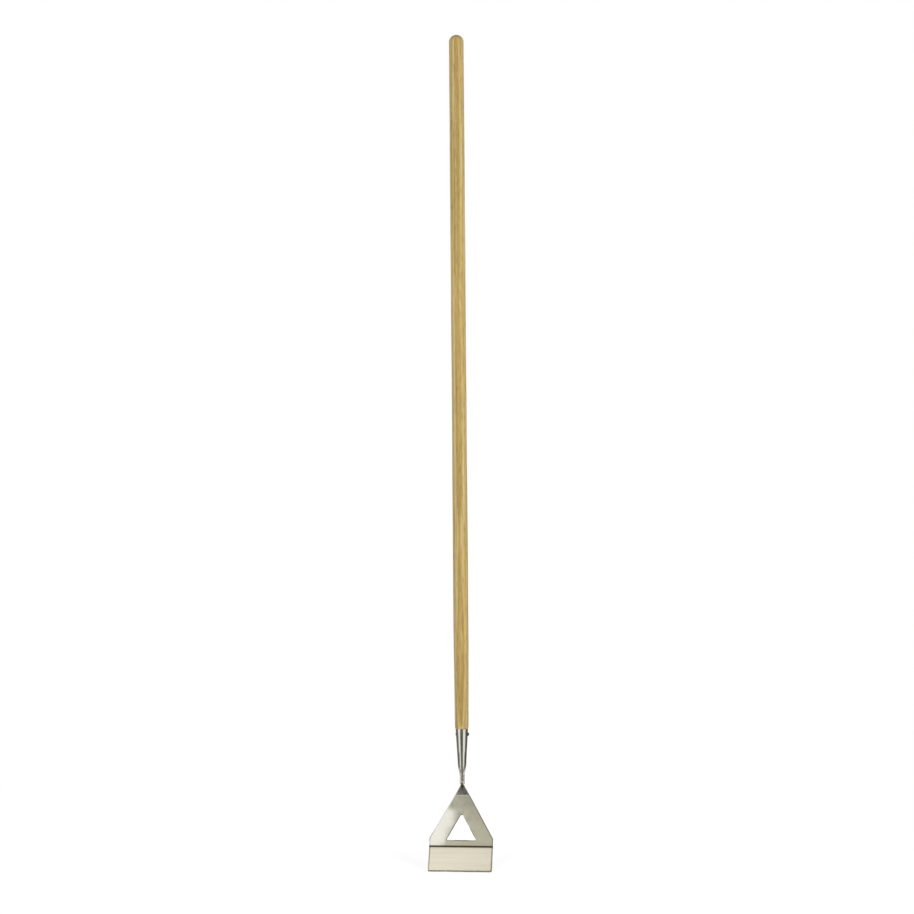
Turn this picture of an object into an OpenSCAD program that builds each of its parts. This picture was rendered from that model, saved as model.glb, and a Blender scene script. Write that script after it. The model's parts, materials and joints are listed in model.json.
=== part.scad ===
// Dutch hoe: a push hoe with a stainless steel head on a long ash handle.
// Millimetres. +Z runs up the handle, and -Y is the way the blade points.
// The origin lies on the handle's axis, where the straight shaft ends and its taper begins.

/* [Handle] */
// Diameter of the straight shaft
shaft_d = 29; // [27:0.5:32]
// Length of the straight shaft
shaft_len = 1194; // [700:1:1500]
// Height of the domed end
dome_h = 11; // [5:0.5:13]
// Length of the taper from the straight shaft to the socket
taper_len = 148.5; // [90:0.5:220]
// Length of the turned-in edge above the socket
lead_len = 8; // [4:0.5:16]
// How far the wood turns in along that edge
lead_in = 0.6; // [0.2:0.1:0.8]
// How far the wood stands proud of the socket's rim
wood_proud = 0.6; // [0.2:0.1:0.8]
// Length of the tenon inside the socket
tenon_len = 56; // [40:1:60]
// Gap for glue round the tenon
glue_gap = 0.15; // [0.1:0.05:0.3]

/* [Socket] */
// Outside diameter of the socket at its rim
rim_d = 24.4; // [22.5:0.1:25]
// Length of the cone from the rim to the waist
cone_len = 74.5; // [70:0.5:100]
// Outside diameter at the waist, which is also the depth of the neck
waist_d = 15.6; // [14:0.1:18]
// Wall of the tube
socket_wall = 1.5; // [1:0.1:2]
// How far above the waist the sides begin to be pinched in
pinch_rise = 7.4; // [4:0.1:10]
// Length over which the round tube is pinched to the neck
pinch_len = 23.4; // [16:0.1:30]
// Width of the pinched neck from side to side
neck_w = 10.6; // [9.5:0.1:12]
// Length of the neck below the pinch
neck_len = 19.3; // [18:0.1:30]
// Slope of the neck's front and back ridges at its mouth, in degrees from the axis
mouth_angle = 30; // [20:1:45]

/* [Rivet] */
// Diameter of the rivet's shank
rivet_d = 4.5; // [3.5:0.1:6]
// Diameter of its domed head
rivet_head_d = 8; // [7:0.1:10]
// Height of its domed head above the socket
rivet_head_h = 2.8; // [1.5:0.1:3.5]
// Diameter of the hammered tail
rivet_tail_d = 6.6; // [6.1:0.1:8]
// Height of the hammered tail above the socket
rivet_tail_h = 0.9; // [0.5:0.1:1.5]
// Distance of the rivet below the rim
rivet_drop = 11.7; // [9:0.1:30]
// Gap round the shank in its holes
rivet_gap = 0.1; // [0.05:0.05:0.3]

/* [Head plate] */
// Width of the head and of the blade
head_w = 123; // [90:1:160]
// Thickness of the sheet
plate_t = 2; // [1.5:0.1:3]
// Width of the tongue that the neck grips
tongue_w = 5.4; // [5:0.1:7.2]
// Length of the tongue inside the neck
tongue_len = 14; // [8:0.5:16]
// Gap round the tongue in the neck
tongue_gap = 0.1; // [0.05:0.05:0.2]
// Length of the upright tab from the neck's mouth to the bend
tab_len = 20.5; // [12:0.5:30]
// Radius of the bend, to the middle of the sheet
bend_r = 6; // [4:0.5:10]
// Lean of the frame from the handle's axis, in degrees
frame_angle = 25; // [15:1:35]
// Length of the frame from the bend to the middle of the seam
frame_len = 100; // [85:1:140]
// Height of the frame's upright sides above the seam
side_h = 15.8; // [8:0.1:25]
// Radius of the frame's shoulders
shoulder_r = 4; // [1:0.5:8]
// Width of the window at its foot
window_w = 57.5; // [40:0.5:62]
// Height of the bar between the window and the seam
bar_h = 12.5; // [8:0.5:20]
// Radius of the window's tip
window_tip_r = 2.5; // [1:0.5:5]
// Radius of the window's two lower corners
window_foot_r = 1; // [0.5:0.5:4]

/* [Blade] */
// Length of the blade from the middle of the seam to its front edge
blade_len = 54; // [40:1:80]
// Lean of the blade from the handle's axis, in degrees
blade_angle = 45; // [40:1:60]
// Thickness of the blade
blade_t = 2; // [1.5:0.1:3]
// Width of the ground bevel along the front and side edges
bevel_w = 2.5; // [1:0.1:6]
// Thickness left at the ground edge
edge_t = 0.6; // [0.3:0.1:1]
// Radius of the blade's front corners
blade_r = 2.5; // [1:0.5:6]

/* [Welds] */
// Size of the beads where the plate leaves the neck
neck_weld_leg = 2.2; // [1.5:0.1:3]
// Width of the seam weld, along the sheet
seam_w = 3; // [2.5:0.1:4]
// Depth of the seam weld below the sheet's front face
seam_sink = 0.4; // [0.2:0.1:0.6]
// Height of the seam weld above the sheet's back face
seam_crown = 0.6; // [0.3:0.1:1]

/* [Hidden] */
$fn = 64;
wood = "#bd9f66";
polished_steel = "#b4b1a8";
satin_steel = "#d8d1be";
weld_metal = "#5c584c";

// Reach of every cut past the face that it leaves by
overrun = 1;
// Steps in each rounded corner, in the plate's bend and in the crown of the seam weld
corner_steps = 8;
bend_steps = 6;
crown_steps = 8;

shaft_r = shaft_d / 2;
rim_r = rim_d / 2;
waist_r = waist_d / 2;
foot_r = rim_r + wood_proud;
lead_r = foot_r + lead_in;
dome_r = (shaft_r * shaft_r + dome_h * dome_h) / (2 * dome_h);

// Heights on the handle's axis, from the top down
rim_z = -taper_len;
rivet_z = rim_z - rivet_drop;
waist_z = rim_z - cone_len;
pinch_top_z = waist_z + pinch_rise;
pinch_foot_z = pinch_top_z - pinch_len;
mouth_z = pinch_foot_z - neck_len;
bend_z = mouth_z - tab_len;

// Outside radius of the socket's cone at height z
function cone_r(z) = rim_r + (waist_r - rim_r) * (rim_z - z) / cone_len;

// The pinched neck is a diamond: neck_w wide, and as deep as the waist
diamond_ratio = waist_d / neck_w;
// Distance from the axis to a diamond's flat side, as a share of its half width
flat_share = diamond_ratio / sqrt(1 + diamond_ratio * diamond_ratio);
// Spare width, as a share, that keeps the pinch clear of the tube at its top
pinch_spare_share = 1.02;
pinch_top_w = 2 * cone_r(pinch_top_z) / flat_share * pinch_spare_share;
// Half depth of the neck at its mouth, which holds the plate and, on each face, a bead with a margin
mouth_margin_share = 1.2;
mouth_half = plate_t / 2 + neck_weld_leg * mouth_margin_share;
mouth_rise = (waist_r - mouth_half) / tan(mouth_angle);

rivet_seat_r = cone_r(rivet_z);
// Depth of the saddle that the rivet's ends make round the tube
rivet_saddle = rivet_head_d / 4;

// Flat outline of the head plate: straight flanks from the tongue to the shoulders
shoulder = frame_len - side_h;
flank_share = (head_w - tongue_w) / 2 / (tab_len + shoulder);
bend_run = bend_r * tan(frame_angle / 2);
window_foot = frame_len - bar_h;
window_tip = window_foot - window_w / 2 / flank_share;
seam_half = seam_w / 2;
seam_point = [0, bend_z] + frame_len * down(frame_angle);

// Half width of the plate at distance s down the sheet from the bend
function half_w(s) = tongue_w / 2 + flank_share * (s + tab_len);

// Directions in the Y-Z plane for a sheet that leans by angle a: down it, and out of its front
function down(a) = [-sin(a), -cos(a)];
function front(a) = [-cos(a), sin(a)];

function unit(v) = v / norm(v);

// Points of a rounded corner of radius r at b, on the way from a to c
function corner(a, b, c, r) =
    let (u = unit(a - b), v = unit(c - b))
    let (half = acos(u * v) / 2)
    let (centre = b + unit(u + v) * r / sin(half))
    let (start = b + u * r / tan(half) - centre)
    let (turn = (180 - 2 * half) * sign(cross(b - a, c - b)))
    let (from = atan2(start[1], start[0]))
    [for (i = [0 : corner_steps]) let (t = from + turn * i / corner_steps) centre + r * [cos(t), sin(t)]];

// An outline with its corners rounded by the radii, where a radius of zero leaves a sharp corner
function rounded(points, radii) =
    let (n = len(points))
    [for (i = [0 : n - 1])
        each radii[i] == 0 ? [points[i]]
            : corner(points[(i + n - 1) % n], points[i], points[(i + 1) % n], radii[i])];

// Place of the sheet's middle at distance s down it from the bend, as [y, z, lean]
function sheet_place(s) =
    let (turn = min(max((s / bend_run + 1) / 2, 0), 1) * frame_angle)
    let (arc = [-bend_r, bend_z + bend_run] - bend_r * front(turn))
    let (past = s < -bend_run ? s + bend_run : max(s - bend_run, 0))
    concat(arc + past * down(turn), turn);

// Stations of the head plate from the tongue's tip to the seam, as [half width, distance down the sheet]
plate_stations = concat(
    [[tongue_w / 2, -tab_len - tongue_len], [tongue_w / 2, -tab_len]],
    [for (i = [0 : bend_steps]) let (s = bend_run * (2 * i / bend_steps - 1)) [half_w(s), s]],
    corner([half_w(bend_run), bend_run], [head_w / 2, shoulder], [head_w / 2, frame_len], shoulder_r),
    [[head_w / 2, frame_len - seam_half]]);

// Carries a Y-Z profile along X, centred
module across(width) {
    rotate([90, 0, 90]) linear_extrude(width, center = true) children();
}

// Lays X-Y drawings on a sheet that leans by angle, with its Y up the sheet and its Z out of the front
module on_sheet(point, angle) {
    translate([0, point[0], point[1]]) rotate([90 - angle, 0, 0]) children();
}

// A diamond column that widens from its foot to its top, with both ends given by their widths
module diamond(foot_w, top_w, height) {
    linear_extrude(height, scale = top_w / foot_w)
        polygon([[foot_w / 2, 0], [0, foot_w / 2 * diamond_ratio],
                 [-foot_w / 2, 0], [0, -foot_w / 2 * diamond_ratio]]);
}

// A hole along X through the socket and the tenon
module rivet_hole() {
    translate([0, 0, rivet_z]) rotate([0, 90, 0])
        cylinder(h = 2 * (rim_r + overrun), r = rivet_d / 2 + rivet_gap, center = true);
}

module ash_handle() {
    color(wood) difference() {
        union() {
            translate([0, 0, shaft_len]) intersection() {
                translate([0, 0, dome_h - dome_r]) sphere(r = dome_r);
                cylinder(h = dome_h + overrun, r = dome_r + overrun);
            }
            cylinder(h = shaft_len, r = shaft_r);
            translate([0, 0, rim_z + lead_len]) cylinder(h = taper_len - lead_len, r1 = lead_r, r2 = shaft_r);
            translate([0, 0, rim_z]) cylinder(h = lead_len, r1 = foot_r, r2 = lead_r);
            translate([0, 0, rim_z - tenon_len])
                cylinder(h = tenon_len,
                         r1 = cone_r(rim_z - tenon_len) - socket_wall - glue_gap,
                         r2 = rim_r - socket_wall - glue_gap);
        }
        rivet_hole();
    }
}

// The tube before it is pinched, or its bore when inset is the wall
module round_tube(inset, foot_z) {
    rotate_extrude()
        polygon([[0, rim_z], [rim_r - inset, rim_z], [waist_r - inset, waist_z],
                 [waist_r - inset, foot_z], [0, foot_z]]);
}

// Room that the pinching dies leave round the axis, or leave in the bore when inset is the wall
module die_room(inset) {
    inset_w = 2 * inset / flat_share;
    translate([0, 0, pinch_foot_z])
        diamond(neck_w - inset_w, pinch_top_w - inset_w, pinch_len);
    translate([0, 0, pinch_top_z])
        cylinder(h = rim_z - pinch_top_z + overrun, r = rim_r + overrun);
}

// Side view of the neck, whose ridges slope in to the mouth
module neck_side() {
    reach = rim_r + overrun;
    polygon([[-mouth_half, mouth_z], [mouth_half, mouth_z],
             [mouth_half + mouth_rise * tan(mouth_angle), mouth_z + mouth_rise],
             [reach, rim_z - cone_len / 2], [reach, rim_z + overrun],
             [-reach, rim_z + overrun], [-reach, rim_z - cone_len / 2],
             [-mouth_half - mouth_rise * tan(mouth_angle), mouth_z + mouth_rise]]);
}

module socket() {
    color(polished_steel) difference() {
        intersection() {
            round_tube(0, mouth_z);
            union() {
                die_room(0);
                translate([0, 0, mouth_z]) diamond(neck_w, neck_w, neck_len);
            }
            across(2 * (rim_r + overrun)) neck_side();
        }
        intersection() {
            union() {
                round_tube(socket_wall, pinch_foot_z);
                translate([0, 0, rim_z]) cylinder(h = overrun, r = rim_r - socket_wall);
            }
            die_room(socket_wall);
        }
        rivet_hole();
        translate([-tongue_w / 2 - tongue_gap, -plate_t / 2 - tongue_gap, mouth_z - overrun])
            cube([tongue_w + 2 * tongue_gap, plate_t + 2 * tongue_gap, tongue_len + tongue_gap + overrun]);
    }
}

// One end of the rivet, whose seat follows the round of the tube
module rivet_end(diameter, height) {
    cap_r = (diameter * diameter / 4 + height * height) / (2 * height);
    difference() {
        translate([rivet_seat_r, 0, rivet_z]) rotate([0, 90, 0]) intersection() {
            translate([0, 0, height - cap_r]) sphere(r = cap_r);
            translate([0, 0, -rivet_saddle]) cylinder(h = rivet_saddle + height + overrun, r = diameter / 2);
        }
        round_tube(0, mouth_z);
    }
}

module socket_rivet() {
    color(weld_metal) union() {
        rivet_end(rivet_head_d, rivet_head_h);
        rotate([0, 0, 180]) rivet_end(rivet_tail_d, rivet_tail_h);
        translate([-rivet_seat_r - rivet_tail_h / 2, 0, rivet_z]) rotate([0, 90, 0])
            cylinder(h = 2 * rivet_seat_r + (rivet_head_h + rivet_tail_h) / 2, r = rivet_d / 2);
    }
}

// The bent sheet: its straight section carried down the stations as it bends and widens
module bent_plate() {
    sides = [[-1, 1], [1, 1], [1, -1], [-1, -1]];
    rings = [for (station = plate_stations)
        let (place = sheet_place(station[1]))
        for (side = sides)
            let (p = [place[0], place[1]] + side[1] * plate_t / 2 * front(place[2]))
            [side[0] * station[0], p[0], p[1]]];
    last = 4 * (len(plate_stations) - 1);
    walls = [for (i = [0 : len(plate_stations) - 2]) for (j = [0 : 3])
        let (a = 4 * i + j, b = 4 * i + (j + 1) % 4)
        each [[a, b, b + 4], [a, b + 4, a + 4]]];
    polyhedron(rings, concat([[3, 2, 1, 0], [last, last + 1, last + 2, last + 3]], walls));
}

module head_frame() {
    color(polished_steel) difference() {
        bent_plate();
        on_sheet([0, bend_z], frame_angle) linear_extrude(plate_t + 2 * overrun, center = true)
            polygon(rounded(
                [[0, -window_tip], [-window_w / 2, -window_foot], [window_w / 2, -window_foot]],
                [window_tip_r, window_foot_r, window_foot_r]));
    }
}

// A bead in the corner between the neck's mouth and one face of the plate, on both faces
module neck_weld() {
    color(weld_metal) for (turn = [0, 180]) rotate([0, 0, turn])
        translate([0, plate_t / 2, mouth_z]) across(tongue_w) intersection() {
            circle(r = neck_weld_leg);
            translate([0, -neck_weld_leg]) square(neck_weld_leg);
        }
}

// What grinding takes off an edge: a wedge that is bevel_w wide and leaves edge_t
module bevel_cut(length) {
    slope_share = (blade_t - edge_t) / bevel_w;
    across(length + 2 * overrun)
        polygon([[bevel_w, 0], [-overrun, -slope_share * (bevel_w + overrun)],
                 [-overrun, overrun], [bevel_w + overrun / slope_share, overrun]]);
}

module blade() {
    color(satin_steel) on_sheet(seam_point, blade_angle) difference() {
        linear_extrude(blade_t, center = true)
            polygon(rounded(
                [[head_w / 2, -seam_half], [-head_w / 2, -seam_half],
                 [-head_w / 2, -blade_len], [head_w / 2, -blade_len]],
                [0, 0, blade_r, blade_r]));
        translate([0, -blade_len, blade_t / 2]) bevel_cut(head_w);
        for (side = [-1, 1])
            translate([side * head_w / 2, -blade_len / 2, blade_t / 2])
                rotate([0, 0, side * 90]) bevel_cut(blade_len);
    }
}

// The seam weld fills the gap between frame and blade: sunk in front and crowned behind
module blade_weld() {
    frame_front = seam_point - seam_half * down(frame_angle) + (plate_t / 2 - seam_sink) * front(frame_angle);
    frame_back = seam_point - seam_half * down(frame_angle) - plate_t / 2 * front(frame_angle);
    blade_front = seam_point + seam_half * down(blade_angle) + (blade_t / 2 - seam_sink) * front(blade_angle);
    blade_back = seam_point + seam_half * down(blade_angle) - blade_t / 2 * front(blade_angle);
    outward = -unit(front(frame_angle) + front(blade_angle));
    crown = [for (i = [1 : crown_steps - 1])
        let (t = i / crown_steps)
        frame_back + t * (blade_back - frame_back) + 4 * t * (1 - t) * seam_crown * outward];
    color(weld_metal) across(head_w)
        polygon(concat([blade_front, frame_front, frame_back], crown, [blade_back]));
}

ash_handle();
socket();
socket_rivet();
head_frame();
neck_weld();
blade();
blade_weld();
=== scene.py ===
"""Dutch hoe: a turned ash handle, a pinched steel socket, a bent head plate and a ground blade."""

import json
import math

import bpy
import numpy as np
from mathutils import Color, Matrix, Vector


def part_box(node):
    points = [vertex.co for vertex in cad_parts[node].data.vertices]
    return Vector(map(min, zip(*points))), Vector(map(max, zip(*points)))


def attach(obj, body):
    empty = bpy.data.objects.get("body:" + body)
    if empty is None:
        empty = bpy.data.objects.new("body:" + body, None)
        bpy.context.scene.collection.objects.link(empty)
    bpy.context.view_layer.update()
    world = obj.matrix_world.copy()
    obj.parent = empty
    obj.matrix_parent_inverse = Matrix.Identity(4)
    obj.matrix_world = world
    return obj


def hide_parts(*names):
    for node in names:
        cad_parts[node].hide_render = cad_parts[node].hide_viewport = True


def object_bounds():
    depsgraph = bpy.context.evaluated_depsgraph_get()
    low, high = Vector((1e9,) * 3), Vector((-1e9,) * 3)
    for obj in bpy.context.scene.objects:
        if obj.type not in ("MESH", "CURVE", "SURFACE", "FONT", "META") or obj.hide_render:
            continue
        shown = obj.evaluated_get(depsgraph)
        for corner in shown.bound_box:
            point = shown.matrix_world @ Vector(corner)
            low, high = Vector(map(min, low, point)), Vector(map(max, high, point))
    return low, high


bl_info = {
    "name": "Dutch hoe",
    "version": (1, 0, 0),
    "blender": (4, 5, 0),
    "location": "3D View > Sidebar > Hoe",
    "description": "Makes the surfaces and finishes of a dutch hoe, and a plain studio round it",
    "category": "Mesh",
}

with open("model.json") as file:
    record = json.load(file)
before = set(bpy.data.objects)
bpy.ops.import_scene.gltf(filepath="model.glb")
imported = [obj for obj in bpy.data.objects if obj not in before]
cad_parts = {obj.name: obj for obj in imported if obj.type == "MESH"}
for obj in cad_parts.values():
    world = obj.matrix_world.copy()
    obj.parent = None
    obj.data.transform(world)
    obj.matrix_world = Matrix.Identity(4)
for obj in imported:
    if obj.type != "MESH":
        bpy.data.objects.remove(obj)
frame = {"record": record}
cad_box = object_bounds()

handle_low, handle_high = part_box("ash_handle")
socket_low, socket_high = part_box("socket")
rivet_low, rivet_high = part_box("socket_rivet")
blade_low, blade_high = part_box("blade")
grip = next(m for m in frame["record"]["mounts"] if m["name"] == "handle_grip")["dims"]

MILLIMETRE = 0.001
ROUND_SEGMENTS = 192
CORNER_STEPS = 6
TOUCHING = 1e-7


# Properties that a user would change

def length(name, description, default):
    """A size in metres."""
    return bpy.props.FloatProperty(
        name=name, description=description, default=default, precision=5, subtype="DISTANCE", unit="LENGTH")


def angle(name, description, degrees):
    """An angle, written in degrees."""
    return bpy.props.FloatProperty(
        name=name, description=description, default=math.radians(degrees), subtype="ANGLE", unit="ROTATION")


def level(name, description, default):
    """A plain number, such as a roughness or the strength of a light."""
    return bpy.props.FloatProperty(name=name, description=description, default=default, min=0.0)


def colour(name, description, hex_code):
    """A colour, written as its screen value and kept as linear light."""
    screen = Color([byte / 255 for byte in bytes.fromhex(hex_code[1:])])
    linear = screen.from_srgb_to_scene_linear()
    return bpy.props.FloatVectorProperty(
        name=name, description=description, default=tuple(linear), subtype="COLOR", min=0.0, max=1.0)


class HandleSizes(bpy.types.PropertyGroup):
    """Sizes of the ash handle."""
    shaft_radius: length("Shaft radius", "Radius of the straight shaft", grip["r_mm"] * MILLIMETRE)
    shaft_length: length("Shaft length", "Length of the straight shaft", grip["length_mm"] * MILLIMETRE)
    lead_length: length("Lead length", "Length of the turned-in edge above the socket", 0.008)
    lead_radius: length("Lead radius", "Radius where the turned-in edge begins", 0.0134)
    foot_radius: length("Foot radius", "Radius of the wood where it meets the rim", 0.0128)
    tenon_radius: length("Tenon radius", "Radius of the tenon at the rim", 0.01055)
    tenon_foot: length("Tenon foot", "Radius of the tenon at its lower end", 0.00724)
    edge_round: length("Edge round", "Rounding of the wood's edge at the rim", 0.0005)
    unevenness: length("Unevenness", "How far sanding leaves the shaft from a true round", 0.00012)


class SocketSizes(bpy.types.PropertyGroup):
    """Sizes of the steel socket."""
    rim_radius: length("Rim radius", "Outside radius at the rim", socket_high.x)
    cone_length: length("Cone length", "Length of the cone from the rim to the waist", 0.0745)
    waist_radius: length("Waist radius", "Outside radius at the waist, and half depth of the neck", 0.0078)
    wall: length("Wall", "Wall of the tube", 0.0015)
    pinch_rise: length("Pinch rise", "How far above the waist the pinch begins", 0.0074)
    pinch_length: length("Pinch length", "Length over which the tube is pinched", 0.0234)
    pinch_half: length("Pinch half width", "Half width of the dies' room at the top of the pinch", 0.01016)
    neck_half: length("Neck half width", "Half width of the pinched neck", 0.0053)
    mouth_half: length("Mouth half depth", "Half depth of the neck at its mouth", 0.00364)
    mouth_slope: angle("Mouth slope", "Slope of the neck's ridges to the mouth", 30)
    blend: length("Blend", "How far the round tube and the pinched flats flow into each other", 0.0015)
    edge_round: length("Edge round", "Rounding of the rim", 0.0004)
    pocket_half_width: length("Pocket half width", "Half width of the pocket for the tongue", 0.0028)
    pocket_half_depth: length("Pocket half depth", "Half depth of the pocket for the tongue", 0.0011)
    pocket_length: length("Pocket length", "Depth of the pocket above the mouth", 0.0141)


class RivetSizes(bpy.types.PropertyGroup):
    """Sizes of the rivet."""
    shank_radius: length("Shank radius", "Radius of the shank", 0.00225)
    head_radius: length("Head radius", "Radius of the domed head", 0.004)
    head_height: length("Head height", "Height of the domed head", 0.0028)
    tail_radius: length("Tail radius", "Radius of the hammered tail", 0.0033)
    tail_height: length("Tail height", "Height of the hammered tail", 0.0009)
    dents: length("Dents", "Depth of the hammer's dents", 0.00007)


class HeadSizes(bpy.types.PropertyGroup):
    """Sizes of the head plate."""
    width: length("Width", "Width of the head", blade_high.x - blade_low.x)
    thickness: length("Thickness", "Thickness of the sheet", 0.002)
    tongue_width: length("Tongue width", "Width of the tongue inside the neck", 0.0054)
    tongue_length: length("Tongue length", "Length of the tongue inside the neck", 0.014)
    tab_length: length("Tab length", "Length of the upright tab above the bend", 0.0205)
    bend_radius: length("Bend radius", "Radius of the bend, to the middle of the sheet", 0.006)
    lean: angle("Lean", "Lean of the frame from the handle's axis", 25)
    frame_length: length("Frame length", "Length from the bend to the middle of the seam", 0.1)
    side_height: length("Side height", "Height of the upright sides above the seam", 0.0158)
    shoulder_radius: length("Shoulder radius", "Radius of the shoulders", 0.004)
    window_width: length("Window width", "Width of the window at its foot", 0.0575)
    bar_height: length("Bar height", "Height of the bar between window and seam", 0.0125)
    tip_radius: length("Tip radius", "Radius of the window's tip", 0.0025)
    foot_radius: length("Foot radius", "Radius of the window's lower corners", 0.001)
    facet_width: length("Facet width", "Width of the facet that polishing leaves in front", 0.0018)
    facet_depth: length("Facet depth", "Depth of the facet that polishing leaves in front", 0.0003)
    edge_round: length("Edge round", "Rounding of all edges", 0.0002)
    waviness: length("Waviness", "How far polishing leaves the sheet from a true plane", 0.00004)


class BladeSizes(bpy.types.PropertyGroup):
    """Sizes of the blade."""
    length: length("Length", "Length from the middle of the seam to the front edge", 0.054)
    lean: angle("Lean", "Lean of the blade from the handle's axis", 45)
    thickness: length("Thickness", "Thickness of the blade", 0.002)
    bevel: length("Bevel", "Width of the ground bevel", 0.0025)
    edge: length("Edge", "Thickness left at the ground edge", 0.0006)
    corner: length("Corner", "Radius of the front corners", 0.0025)
    edge_round: length("Edge round", "Rounding left by the last pass of the stone", 0.0001)
    hand_share: level("Hand grinding", "How far the bevel's width wanders, as a share", 0.07)


class WeldSizes(bpy.types.PropertyGroup):
    """Sizes of the welds."""
    bead_leg: length("Bead leg", "Size of the beads at the neck", 0.0022)
    bead_half: length("Bead half length", "Half length of the beads at the neck", 0.0028)
    seam_width: length("Seam width", "Width of the seam weld", 0.003)
    seam_sink: length("Seam sink", "Depth of the seam below the front face", 0.0004)
    seam_crown: length("Seam crown", "Height of the seam above the back face", 0.0006)
    ripple_pitch: length("Ripple pitch", "Spacing of the ripples", 0.0013)
    ripple_height: length("Ripple height", "Height of the ripples", 0.00008)


class Finishes(bpy.types.PropertyGroup):
    """Colours and roughness of the finishes."""
    ash_gold: colour("Ash gold", "Main tone of the ash", "#c1a45f")
    ash_olive: colour("Ash olive", "Cool streaks of the ash", "#a99753")
    ash_pale: colour("Ash pale", "Pale late wood", "#dac592")
    ash_brown: colour("Ash brown", "Warm streaks of the ash", "#a98a4f")
    ash_pore: colour("Ash pore", "Open pores of the early wood", "#7d6236")
    polished: colour("Polished steel", "Reflection of the polished steel", "#dddbd5")
    satin: colour("Satin steel", "Reflection of the ground blade", "#f1ead5")
    # the rivet's colour is partly a duller steel and partly painted shade for its small head
    rivet: colour("Rivet steel", "Reflection of the rivet", "#8c8781")
    weld: colour("Weld", "Reflection of the weld", "#5d5644")
    oxide: colour("Oxide", "Dark skin that the weld's heat leaves", "#39321f")
    straw: colour("Straw tint", "Tint of the steel beside a weld", "#b09a68")
    polished_rough: level("Polished roughness", "Roughness of the polished steel", 0.13)
    satin_rough: level("Satin roughness", "Roughness of the ground blade", 0.3)


class StageSizes(bpy.types.PropertyGroup):
    """Camera, floor and lights."""
    camera_distance: length("Camera distance", "Distance from the handle's axis", 3.0)
    camera_height: length("Camera height", "Height of the camera in the part's frame", 0.381)
    camera_side: angle("Camera side", "How far the camera stands to the right of the front", 4.5)
    camera_roll: angle("Camera roll", "Clockwise roll of the camera", 0.46)
    view_width: length("View width", "Width of the picture at the handle's axis", 1.785)
    view_offset: length("View offset", "How far left of the axis the camera aims", 0.0051)
    floor_radius: length("Floor radius", "Radius of the floor", 8.0)
    ambient: level("Ambient", "Strength of the light from all sides", 0.4)
    key_power: level("Key power", "Power of the large light on the right", 37.2)
    fill_power: level("Fill power", "Power of the large light on the left", 30.0)
    back_power: level("Back power", "Power of the light behind", 18.0)


# Shapes

def unit(vectors):
    """The same directions, with length one."""
    return vectors / np.linalg.norm(vectors, axis=1, keepdims=True)


def fillet(points, radii, steps=8):
    """An open outline with rounded corners. The arc at a corner touches both sides: its centre lies on the
    corner's bisector, at the radius over the sine of half the corner's angle."""
    points, radii = np.asarray(points, float), np.asarray(radii, float)[:, None]
    corner = points[1:-1]
    to_before, to_after = unit(points[:-2] - corner), unit(points[2:] - corner)
    half = np.arccos(np.clip((to_before * to_after).sum(1, keepdims=True), -1, 1)) / 2
    centre = corner + unit(to_before + to_after) * radii / np.sin(half)
    first = corner + to_before * radii / np.tan(half) - centre
    last = corner + to_after * radii / np.tan(half) - centre
    turn = np.pi - 2 * half
    share = np.linspace(0, 1, steps)[None, :]
    near, far = np.sin((1 - share) * turn)[..., None], np.sin(share * turn)[..., None]
    arcs = centre[:, None] + (near * first[:, None] + far * last[:, None]) / np.sin(turn)[..., None]
    whole = np.concatenate([points[:1], arcs.reshape(-1, 2), points[-1:]])
    apart = np.linalg.norm(np.diff(whole, axis=0), axis=1) > TOUCHING
    return whole[np.concatenate([[True], apart])]


def subdivide(outline, spacing):
    """The same outline with added points, so that none is further than spacing along it from the next."""
    along = np.concatenate([[0], np.cumsum(np.linalg.norm(np.diff(outline, axis=0), axis=1))])
    even = np.linspace(0, along[-1], int(along[-1] / spacing) + 2)
    far_enough = np.abs(even[:, None] - along[None, :]).min(1) > spacing / 4
    at = np.sort(np.concatenate([along, even[far_enough]]))
    return np.stack([np.interp(at, along, outline[:, i]) for i in (0, 1)], 1)


def soft_min(a, b, reach):
    """The smaller of two values, with a parabola where they are closer than reach."""
    return np.minimum(a, b) - np.maximum(reach - np.abs(a - b), 0) ** 2 / (4 * reach)


def soft_max(a, b, reach):
    """The larger of two values, with a parabola where they are closer than reach."""
    return -soft_min(-a, -b, reach)


def waves(terms, *places):
    """A sum of sine waves. Each term gives a wave's strength, its start, and its rate along each place."""
    def wave(strength, start, *rates):
        return strength * np.sin(start + sum(rate * place for rate, place in zip(rates, places)))
    return sum(wave(*term) for term in terms)


def around(count=ROUND_SEGMENTS):
    """Angles once round, without the last, which equals the first."""
    return np.linspace(0, 2 * np.pi, count, endpoint=False)


def joined(*parts):
    """Points from their coordinates."""
    return np.stack(np.broadcast_arrays(*parts), -1)


def grid_faces(rows, columns, wrap_rows=False, wrap_columns=False):
    """Quads between neighbouring points of a grid. A wrapped direction joins its last line to its first."""
    row = np.arange(rows if wrap_rows else rows - 1)[:, None]
    column = np.arange(columns if wrap_columns else columns - 1)[None, :]
    next_row, next_column = (row + 1) % rows, (column + 1) % columns
    corners = [(row, column), (row, next_column), (next_row, next_column), (next_row, column)]
    return np.stack([(r * columns + c) for r, c in corners], -1).reshape(-1, 4)


def closed_tube(rings):
    """Rings of points joined into a tube, with a fan from each end ring to its middle."""
    rows, columns = rings.shape[:2]
    points = np.concatenate([rings.reshape(-1, 3), rings[0].mean(0)[None], rings[-1].mean(0)[None]])
    start, pole = np.arange(columns), rows * columns
    after = (start + 1) % columns
    last = (rows - 1) * columns
    first_fan = np.stack([after, start, np.full(columns, pole)], 1)
    last_fan = np.stack([last + start, last + after, np.full(columns, pole + 1)], 1)
    return points, [grid_faces(rows, columns, wrap_columns=True), first_fan, last_fan]


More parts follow.
